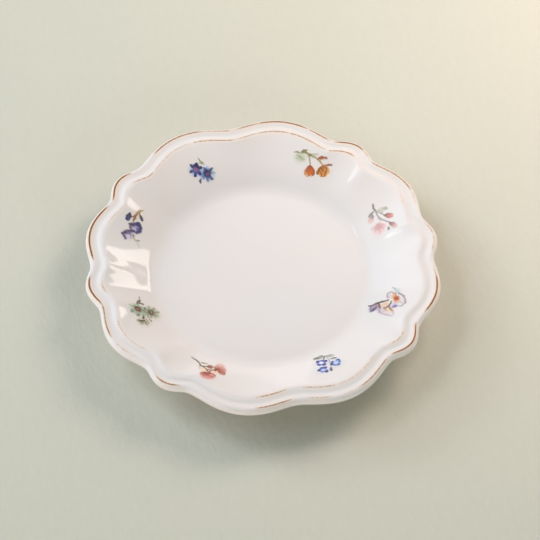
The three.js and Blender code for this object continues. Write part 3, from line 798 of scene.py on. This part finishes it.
CORAL_FLOWERS = [
    spot((5.6, 2.4), 2.9, 5.0, 0, 0xE8B4AC, 0.35, 0.8),
    spot((-0.8, -5.9), 4.0, 3.4, 0, 0xE2A29A, 0.35, 0.8),
    spot((-2.6, -0.8), 2.2, 2.6, 0, 0xE8CDB6, 0.5, 0.75),
    spot((0.6, 0.6), 2.6, 2.0, 0, 0xEAD0BC, 0.5, 0.7),
    stroke([(-5.0, 4.0), (-5.3, 1.8), (-4.8, -1.0)], 1.0, 0xC4B698, 0xDCCDB4, 0.8),
    stroke([(-9.5, 9.2), (-8.0, 8.0), (-6.4, 6.4), (-5.2, 4.4)], 1.2, 0x8A7C72, 0x716250),
    stroke([(-5.3, 4.6), (-4.8, 3.0), (-3.4, 1.8), (-2.0, 0.4)], 1.1, 0x6A5A42, 0x74603C),
    stroke([(-2.2, 0.6), (-1.4, -0.6), (-0.5, -2.4)], 1.1, 0x7C6444, 0x8A5440),
    stroke([(-4.4, 2.2), (-2.8, 2.2), (-1.0, 2.8)], 1.1, 0x735E44, 0x7E5440),
    leaf((-5.2, 5.8), 348, 4.8, 1.7, 0x9A9280, 0xC0B8A4, 0.95),
    blade((-1.8, 2.0), 24, 3.9, 3.0, 0x7E5240, 0xAE7E6E),
    spot((0.4, 1.8), 1.1, 0.9, 20, 0x84503E, 0.6, 0.7),
    spot((-3.2, -1.4), 0.8, 1.3, 0, 0xF6D6BC, 0.5, 0.9),
    spot((2.4, -1.6), 2.4, 1.3, -5, 0xF2CCB6, 0.5, 0.9),
    *petals(
        (4.2, 0.6),
        (76, 6.2, 3.6, 0xA85848, 0xEABAB2), (45, 5.0, 3.2, 0xB06050, 0xE4A89E),
        (8, 4.6, 3.2, 0xAE5E50, 0xDA988E), (322, 5.2, 3.2, 0xA85A48, 0xC67E72),
        (110, 4.2, 2.8, 0xA4503E, 0xDCA096), (178, 1.9, 2.6, 0x8C4434, 0x9A5544),
    ),
    spot((3.9, 1.4), 1.3, 1.2, 20, 0x93483A, 0.6, 0.8),
    *petals(
        (-0.6, -2.8),
        (222, 5.0, 3.5, 0xA04C40, 0xC47E74), (318, 4.9, 3.5, 0xA44A40, 0xD28A82),
        (254, 5.9, 3.5, 0xA8483E, 0xD2867C), (286, 5.6, 3.3, 0xAC4A42, 0xD88880),
    ),
    spot((-1.0, -3.9), 1.9, 1.0, 0, 0xA04238, 0.6, 0.7),
    spot((1.2, -4.6), 0.9, 1.0, 20, 0xE89A90, 0.6, 0.8),
    spot((-1.2, -7.8), 2.4, 1.1, 0, 0xE0A49C, 0.6, 0.7),
    stroke([(-1.2, -0.4), (1.2, -0.1), (3.4, 0.6)], 1.1, 0x90644A, 0x8E5242),
    stroke([(0.6, -1.2), (0.0, -2.4), (-0.3, -3.6)], 1.1, 0x88583F, 0x96483A),
]

GREY_STARS = [
    spot((-4.4, 0.6), 4.2, 4.0, 0, 0xC2CBB8, 0.4, 0.8),
    spot((3.2, 2.0), 4.4, 4.2, -10, 0xC6CAB6, 0.4, 0.8),
    spot((-0.7, 1.0), 1.7, 3.2, 0, 0xA3B19E, 0.5, 0.9),
    spot((-0.6, -5.6), 3.2, 3.4, 0, 0xCCC6B4, 0.5, 0.75),
    leaf((-4.8, 4.0), 72, 5.2, 2.1, 0x7A7664, 0x77705E),
    leaf((-3.4, 6.0), 4, 2.6, 1.5, 0x7C7868, 0x6C6C58),
    stroke([(-3.9, 11.0), (-3.7, 9.4), (-3.3, 7.4)], 0.8, 0xB8B2A4, 0x77705E, 0.95),
    *[blade((-4.0, 1.4), 10 + turn, 3.9 + turn / 500, 1.5, 0x8A9684, 0xB4BEAA, 0.9) for turn in FAN],
    *[blade((2.8, 2.0), 32 + turn, 5.0 - turn / 400, 1.6, 0x868872, 0xB4B8A0, 0.9) for turn in FAN],
    stroke([(-8.6, 2.6), (-7.0, 2.3), (-5.6, 2.0)], 1.0, 0xAAB4A0, 0x88947E, 0.85),
    stroke([(2.4, 3.2), (3.6, 4.4), (5.2, 5.4)], 0.8, 0x848470, 0x9EA28C, 0.85),
    stroke([(4.2, 2.6), (5.8, 3.2), (7.2, 4.0)], 0.8, 0x808068, 0x9C9E86, 0.85),
    stroke([(4.0, 1.2), (5.4, 0.8), (6.8, 0.2)], 0.8, 0x8A8A72, 0xA8AA92, 0.85),
    stroke([(1.8, 0.8), (1.2, -0.8), (1.4, -2.2)], 0.9, 0x84907E, 0x9CA48E, 0.85),
    stroke([(2.6, 0.6), (3.0, -1.0), (3.4, -2.4)], 0.8, 0x8E947E, 0xA8AC94, 0.8),
    spot((-6.9, -1.3), 0.9, 1.1, 150, 0x7C8A76, 0.6, 0.9),
    spot((-3.7, -2.6), 0.9, 1.1, 0, 0x7E846E, 0.6, 0.95),
    stroke([(-0.5, 4.0), (-0.6, 3.0), (-0.9, 1.6)], 1.1, 0x5E7062, 0x7E8E7E, 0.95),
    stroke([(-1.6, 1.8), (-0.6, 1.0), (0.6, 1.2)], 0.9, 0x7A8C7C, 0x7C8A78, 0.85),
    spot((-4.0, 1.5), 1.7, 1.7, 0, 0x6E4438, 0.4),
    stroke([(-5.2, 2.6), (-4.8, 1.9), (-4.2, 2.4)], 0.8, 0x2E1A10, 0x4A2C20),
    stroke([(-5.2, 1.0), (-4.6, 0.3), (-3.8, 0.8)], 0.7, 0x55301F, 0x5C3A2A),
    spot((-4.3, 1.3), 0.6, 0.6, 0, 0xB48A78, 0.6, 0.8),
    spot((-3.0, 1.6), 0.8, 0.9, 0, 0x845246, 0.5, 0.9),
    spot((2.7, 2.0), 1.5, 1.7, 0, 0x5E4636, 0.4),
    stroke([(2.6, 2.6), (3.1, 2.2), (3.3, 1.6)], 0.7, 0xCDBBA8, 0xB49C86, 0.9),
    blade((-0.9, -5.6), 250, 4.0, 2.2, 0x7E765E, 0xBDB6A2, 0.95),
    blade((-0.2, -5.2), 296, 4.2, 1.8, 0x8A826A, 0xBCB6A4, 0.95),
    blade((-1.6, -6.0), 205, 3.2, 1.6, 0x847A62, 0xBDB5A2, 0.9),
    stroke([(0.6, -4.0), (1.6, -5.4), (2.4, -6.8)], 1.0, 0x8C846C, 0xA9A28E, 0.85),
    stroke([(-0.8, -1.8), (-0.9, -3.2), (-0.9, -4.6)], 1.3, 0x7A725A, 0x564C32),
    stroke([(-2.8, -6.1), (-1.4, -6.2), (-0.2, -5.2)], 1.4, 0x554B2E, 0x4A4024),
    spot((-0.9, -5.0), 0.4, 0.5, 0, 0xBDB496, 0.6),
    stroke([(2.4, -3.4), (2.8, -4.0), (3.4, -4.8)], 1.0, 0x746A54, 0x807860, 0.95),
    stroke([(1.4, -1.6), (1.9, -2.4), (2.4, -3.2)], 0.8, 0x8E927C, 0x827E68, 0.8),
]

VIOLETS = [
    spot((1.6, -0.8), 2.9, 2.9, 0, 0x8A80B4, 0.35, 0.85),
    spot((-2.4, -5.8), 2.8, 2.5, 20, 0x9888BA, 0.4, 0.8),
    stroke([(0.7, -4.4), (0.9, -5.2), (0.8, -6.2), (1.2, -7.2)], 0.6, 0x9C9286, 0xB0A498, 0.9),
    stroke([(-0.3, -7.2), (1.2, -7.1), (2.0, -7.8), (3.9, -7.5)], 0.6, 0xB0A69A, 0x989080, 0.9),
    spot((1.0, -5.4), 0.8, 0.6, 0, 0x8E877A, 0.6, 0.9),
    spot((3.4, -7.6), 0.8, 0.5, 0, 0x8F8878, 0.6, 0.9),
    stroke([(2.2, -8.0), (3.2, -9.4), (4.8, -11.6)], 0.5, 0xB8AC9C, 0xC8BEB0, 0.8),
    spot((2.4, 7.6), 1.2, 3.4, -28, 0xDCC0A0, 0.5, 0.6),
    stroke([(5.2, 10.6), (3.7, 9.7), (2.4, 7.9), (1.5, 6.0)], 1.4, 0xB8A684, 0x9C7A4A),
    stroke([(1.6, 6.2), (0.9, 4.6), (0.4, 2.6)], 1.4, 0x8E6830, 0xA88250),
    spot((0.9, 5.0), 0.8, 0.9, -20, 0x875F22, 0.6, 0.85),
    stroke([(0.6, 4.9), (-0.4, 5.0), (-1.0, 4.8)], 0.8, 0xA8885C, 0x786470),
    stroke([(3.2, 9.0), (3.5, 8.2), (3.6, 7.4)], 0.8, 0xA08060, 0x644C50),
    blade((3.4, 7.9), 297, 4.2, 1.8, 0x5E4448, 0x3C3258),
    blade((-1.1, 7.0), 247, 5.6, 2.7, 0x44405C, 0x30346A),
    spot((-1.2, 4.8), 0.6, 1.0, 0, 0x3A3050, 0.6, 0.8),
    spot((-2.4, 3.4), 0.9, 1.0, 30, 0x4C5290, 0.6, 0.7),
    spot((1.2, -1.5), 1.2, 1.0, 0, 0xBCB8DA, 0.5, 0.9),
    stroke([(-1.5, 0.3), (0.0, 0.6), (1.6, 1.4), (3.6, 2.3)], 2.1, 0x544460, 0x40346A),
    blade((1.2, 0.9), 22, 3.6, 2.7, 0x4A4080, 0x383462),
    stroke([(4.1, 1.4), (4.3, -0.4), (3.6, -2.2), (2.4, -3.4)], 2.3, 0x3C386C, 0x46427A),
    blade((2.0, -0.6), 330, 2.4, 1.9, 0x6A66A2, 0x4C4886, 0.9),
    stroke([(-1.2, 0.0), (-1.0, -1.4), (-0.4, -2.6)], 1.3, 0x6C5E72, 0x5E5272, 0.95),
    stroke([(1.2, -2.9), (-1.0, -3.4), (-3.0, -4.7), (-5.0, -6.0)], 2.0, 0x54486C, 0x4A3E5C),
    spot((-1.4, -4.7), 1.4, 0.9, 25, 0x7C6E9C, 0.5, 0.85),
    stroke([(-4.8, -6.2), (-4.0, -7.4), (-3.0, -8.8)], 1.6, 0x4E4268, 0x645684),
    spot((-1.8, -7.1), 1.0, 1.4, 20, 0xDCD2E8, 0.5, 0.9),
]

# Eight strewn sprigs: the node, how far down the cavetto, its bearing, and its brush marks.
SPRIGS = [
    ("blue_daisy_sprig", 0.534, 106.1, BLUE_DAISIES),
    ("orange_bell_sprig", 0.275, 55.9, ORANGE_BELLS),
    ("pink_bud_sprig", 0.45, 15.2, PINK_BUDS),
    ("lilac_blossom_sprig", 0.521, -29.1, LILAC_BLOSSOMS),
    ("forget_me_not_sprig", 0.644, -71.5, FORGET_ME_NOTS),
    ("coral_flower_sprig", 0.378, -123.8, CORAL_FLOWERS),
    ("grey_star_sprig", 0.551, -165.5, GREY_STARS),
    ("violet_sprig", 0.345, 148.6, VIOLETS),
]


def connect(tree, made, inputs):
    """Links or sets inputs of a shader node."""
    for name, value in inputs.items():
        socket = made.inputs[name]
        if isinstance(value, bpy.types.NodeSocket):
            tree.links.new(value, socket)
        else:
            socket.default_value = value


def add(tree, kind, inputs=None, **settings):
    """Adds a shader node with its settings and inputs."""
    made = tree.nodes.new(kind)
    for name, value in settings.items():
        setattr(made, name, value)
    connect(tree, made, inputs or {})
    return made


def math_node(tree, operation, *values):
    return add(tree, "ShaderNodeMath", dict(enumerate(values)), operation=operation).outputs[0]


def blended(tree, share, first, second):
    """Colour between two others."""
    return add(tree, "ShaderNodeMix", {0: share, 6: first, 7: second}, data_type="RGBA").outputs[2]


def ranged(tree, value, from_low, from_high, to_low, to_high):
    """Value carried smoothly from one range to another."""
    inputs = dict(enumerate((value, from_low, from_high, to_low, to_high)))
    return add(tree, "ShaderNodeMapRange", inputs, interpolation_type="SMOOTHSTEP").outputs[0]


def noise(tree, position, scale, detail=2.0, roughness=0.5):
    inputs = {"Vector": position, "Scale": scale, "Detail": detail, "Roughness": roughness}
    return add(tree, "ShaderNodeTexNoise", inputs).outputs[0]


def drawn_out(tree, position, turn, cells):
    """Position turned about the plate's axis and scaled, for marks that run one way."""
    inputs = {"Vector": position, "Rotation": (0, 0, turn), "Scale": cells}
    return add(tree, "ShaderNodeMapping", inputs).outputs[0]


def glaze_group():
    """Fired glaze: its tint, gloss and ripple, with knife marks in the well."""
    group = bpy.data.node_groups.new("fired_glaze", "ShaderNodeTree")
    group.interface.new_socket("Position", in_out="INPUT", socket_type="NodeSocketVector")
    for name, kind in (("Colour", "Color"), ("Roughness", "Float"), ("Ripple", "Float")):
        group.interface.new_socket(name, in_out="OUTPUT", socket_type="NodeSocket" + kind)
    position = add(group, "NodeGroupInput").outputs["Position"]
    broad = ranged(group, noise(group, position, TINT_CELLS, 3.0), *MIDDLE, 0, 1)
    tint = blended(group, broad, *map(rgba, GLAZE_TINTS))
    cells = add(group, "ShaderNodeTexVoronoi", {"Vector": position, "Scale": SPECK_CELLS})
    speck = ranged(group, cells.outputs["Distance"], *SPECK_SIZE, SPECK_STRENGTH, 0)
    rare = ranged(group, noise(group, position, SPECK_GROUP_CELLS), *SPECK_GROUPS, 0, 1)
    specked = blended(group, math_node(group, "MULTIPLY", speck, rare), tint, rgba(SPECK_TINT))
    apart = add(group, "ShaderNodeSeparateXYZ", {0: position})
    level = add(group, "ShaderNodeCombineXYZ", {0: apart.outputs[0], 1: apart.outputs[1]}).outputs[0]
    reach = add(group, "ShaderNodeVectorMath", {0: level}, operation="LENGTH").outputs["Value"]
    in_well = ranged(group, reach, KNIFE_REACH, WELL_RADIUS, 1, 0)
    along = drawn_out(group, position, KNIFE_TURN, KNIFE_CELLS)
    cuts = ranged(group, noise(group, along, 1.0, 1.0), *KNIFE_MARKS, 0, 1)
    marks = math_node(group, "MULTIPLY", cuts, in_well)
    sheen = ranged(group, noise(group, position, SHEEN_CELLS, 3.0), *MIDDLE, *GLAZE_ROUGHNESS)
    worn = math_node(group, "MULTIPLY_ADD", marks, KNIFE_ROUGHNESS, sheen)
    slow = math_node(group, "MULTIPLY", noise(group, position, SLOW_CELLS, 1.0), SLOW_RIPPLE)
    fine = math_node(group, "MULTIPLY", noise(group, position, FINE_CELLS, 1.0), FINE_RIPPLE)
    ripple = math_node(group, "ADD", slow, fine)
    add(group, "NodeGroupOutput", {"Colour": specked, "Roughness": worn, "Ripple": ripple})
    return group


def material(name):
    """New material with its node tree, its shader and the object's own coordinates."""
    made = bpy.data.materials.new(name)
    made.use_nodes = True
    tree = made.node_tree
    shader = tree.nodes["Principled BSDF"]
    position = add(tree, "ShaderNodeTexCoord").outputs["Object"]
    return made, tree, shader, position


def placed_glaze(tree, position):
    return add(tree, "ShaderNodeGroup", {"Position": position}, node_tree=GLAZE).outputs


def own(tree, name):
    """An attribute of the piece's own mesh."""
    return add(tree, "ShaderNodeAttribute", attribute_name=name).outputs


def bump(tree, height):
    return add(tree, "ShaderNodeBump", {"Height": height, "Strength": 1.0, "Distance": 1.0}).outputs[0]


def porcelain_material():
    """Glaze, stained beside the gilt lines, and bare biscuit under the foot."""
    made, tree, shader, position = material("porcelain_glaze")
    glaze = placed_glaze(tree, position)
    height = add(tree, "ShaderNodeSeparateXYZ", {0: position}).outputs[2]
    bare = ranged(tree, height, BARE_HEIGHT, GLAZED_HEIGHT, 1, 0)
    biscuit = blended(tree, noise(tree, position, BISCUIT_CELLS, 3.0), *map(rgba, BISCUIT_TINTS))
    soaked = math_node(tree, "MULTIPLY", own(tree, "stain")["Fac"], STAIN_STRENGTH)
    stained = blended(tree, soaked, glaze["Colour"], rgba(STAIN_TINT))
    inputs = {0: bare, 2: glaze["Roughness"], 3: BISCUIT_ROUGHNESS}
    finish = {
        "Base Color": blended(tree, bare, stained, biscuit),
        "Roughness": add(tree, "ShaderNodeMix", inputs, data_type="FLOAT").outputs[0],
        "IOR": GLAZE_IOR,
        "Normal": bump(tree, glaze["Ripple"]),
    }
    connect(tree, shader, finish)
    return made


def print_material():
    """Overglaze print: paint from the film's own attribute, mottled, over the glaze."""
    made, tree, shader, position = material("overglaze_print")
    glaze = placed_glaze(tree, position)
    paint = own(tree, "paint")
    mottle = ranged(tree, noise(tree, position, MOTTLE_CELLS, 3.0, 0.6), *MIDDLE, *PAINT_MOTTLE)
    cover = math_node(tree, "MULTIPLY", paint["Alpha"], mottle)
    finish = {
        "Base Color": blended(tree, cover, glaze["Colour"], paint["Color"]),
        "Roughness": math_node(tree, "MULTIPLY_ADD", cover, PAINT_ROUGHNESS, glaze["Roughness"]),
        "IOR": GLAZE_IOR,
        "Specular IOR Level": ranged(tree, cover, 0, 1, GLAZE_SPECULAR, PAINT_SPECULAR),
        "Normal": bump(tree, glaze["Ripple"]),
    }
    connect(tree, shader, finish)
    return made


def gilt_material():
    """Worn gold line: thinned and broken where the film's own attribute says it is rubbed."""
    made, tree, shader, position = material("worn_gilding")
    glaze = placed_glaze(tree, position)
    grain = noise(tree, position, WEAR_CELLS, 4.0, 0.65)
    broken = math_node(tree, "MULTIPLY_ADD", grain, GOLD_BREAKS, own(tree, "gilt")["Fac"])
    thin = ranged(tree, broken, *GOLD_THIN, 0, GOLD_THIN_STRENGTH)
    shown = ranged(tree, broken, *GOLD_FULL, 0, 1)
    gold = blended(tree, noise(tree, position, TARNISH_CELLS), *map(rgba, GOLD_TINTS))
    rubbed = blended(tree, thin, glaze["Colour"], rgba(RUBBED_TINT))
    finish = {
        "Base Color": blended(tree, shown, rubbed, gold),
        "Metallic": math_node(tree, "MULTIPLY", shown, GOLD_METAL),
        "Roughness": math_node(tree, "MULTIPLY_ADD", shown, GOLD_ROUGHNESS, glaze["Roughness"]),
        "Normal": bump(tree, glaze["Ripple"]),
    }
    connect(tree, shader, finish)
    return made


def floor_material():
    """Pale card with a faint fibre."""
    made, tree, shader, position = material("pale_card")
    fibre = noise(tree, drawn_out(tree, position, FIBRE_TURN, FIBRE_CELLS), 1.0, 4.0, 0.6)
    shade = blended(tree, noise(tree, position, CLOUD_CELLS), *map(rgba, CARD_TINTS))
    flecks = ranged(tree, fibre, *FIBRES, 0, FIBRE_STRENGTH)
    finish = {
        "Base Color": blended(tree, flecks, shade, rgba(FIBRE_TINT)),
        "Roughness": CARD_ROUGHNESS,
        "Normal": bump(tree, math_node(tree, "MULTIPLY", fibre, FIBRE_RELIEF)),
    }
    connect(tree, shader, finish)
    return made


def make_camera():
    right = Vector((math.cos(CAMERA_TURN), math.sin(CAMERA_TURN), 0))
    away = Vector((-math.sin(CAMERA_TURN), math.cos(CAMERA_TURN), 0))
    up = away * math.sin(CAMERA_ELEVATION) + Vector((0, 0, math.cos(CAMERA_ELEVATION)))
    back = Vector((0, 0, math.sin(CAMERA_ELEVATION))) - away * math.cos(CAMERA_ELEVATION)
    aim = right * AIM_RIGHT + away * AIM_AWAY + Vector((0, 0, RIM_HEIGHT))
    turn = Matrix((right, up, back)).transposed().to_4x4()
    data = bpy.data.cameras.new("camera")
    data.lens = CAMERA_LENS
    data.clip_start = CAMERA_NEAR
    data.clip_end = CAMERA_FAR
    made = bpy.data.objects.new("camera", data)
    place = Matrix.Translation(aim + back * CAMERA_DISTANCE)
    made.matrix_world = place @ turn @ Matrix.Rotation(CAMERA_ROLL, 4, "Z")
    bpy.context.scene.collection.objects.link(made)
    bpy.context.scene.camera = made


def softbox(name, bearing, elevation, distance, width, height, power, tint, roll=0.0, shift=(0.0, 0.0)):
    """Area light facing the plate. Bearing is in degrees from the camera's right, towards the far side."""
    data = bpy.data.lights.new(name, "AREA")
    data.shape = "RECTANGLE"
    data.size = width
    data.size_y = height
    data.energy = power
    data.color = tint
    made = bpy.data.objects.new(name, data)
    around = CAMERA_TURN + math.radians(bearing)
    tilt = math.radians(elevation)
    out = Vector((math.cos(around) * math.cos(tilt), math.sin(around) * math.cos(tilt), math.sin(tilt)))
    facing = out.to_track_quat("Z", "Y").to_matrix().to_4x4() @ Matrix.Rotation(roll, 4, "Z")
    aside = Matrix.Translation((shift[0], shift[1], 0))
    made.matrix_world = Matrix.Translation(out * distance) @ facing @ aside
    bpy.context.scene.collection.objects.link(made)
    return made


def window_panes():
    """Four panes, as centre x, centre y, width and height, round the dark patch in the window."""
    left, right, low, high = WINDOW_EDGES
    patch_left, patch_right, patch_low, patch_high = WINDOW_PATCH
    bands = [
        (left, patch_left, low, high),
        (patch_right, right, low, high),
        (patch_left, patch_right, low, patch_low),
        (patch_left, patch_right, patch_high, high),
    ]
    return [((a + b) / 2, (c + d) / 2, b - a, d - c) for a, b, c, d in bands]


def make_lights():
    world = bpy.data.worlds.new("studio")
    bpy.context.scene.world = world
    world.use_nodes = True
    background = world.node_tree.nodes["Background"]
    background.inputs["Color"].default_value = ROOM_TINT
    background.inputs["Strength"].default_value = ROOM_STRENGTH
    softbox(*LEFT_WINDOW)
    for x, y, width, height in window_panes():
        power = WINDOW_GLOW * width * height
        softbox("right_window", *WINDOW_PLACE, width, height, power, WINDOW_TINT, WINDOW_ROLL, (x, y))
    for lamp in GLINTS:
        softbox(*lamp)
    for lamp in FILLS:
        softbox(*lamp).visible_glossy = False


def make_floor():
    form = bmesh.new()
    bmesh.ops.create_grid(form, x_segments=FLOOR_STEPS, y_segments=FLOOR_STEPS, size=FLOOR_REACH)
    floor = form_object(form, floor_material(), "floor")


GLAZE = glaze_group()
body = piece(turned(body_section(), False), porcelain_material(), "plate_body")
gilt_stain(body.data)
draw_scallops(body.data)
gilding = gilt_material()
gilt_line(NOTCH_RADIUS, OUTER_GILT, gilding, "outer_gilt_line")
gilt_line(RIDGE_RADIUS, INNER_GILT, gilding, "inner_gilt_line")
overglaze = print_material()
for node, down, bearing, marks in SPRIGS:
    sprig_film(node, down, bearing, marks, overglaze)
make_floor()
make_lights()
make_camera()
bpy.context.scene.view_settings.view_transform = "Standard"
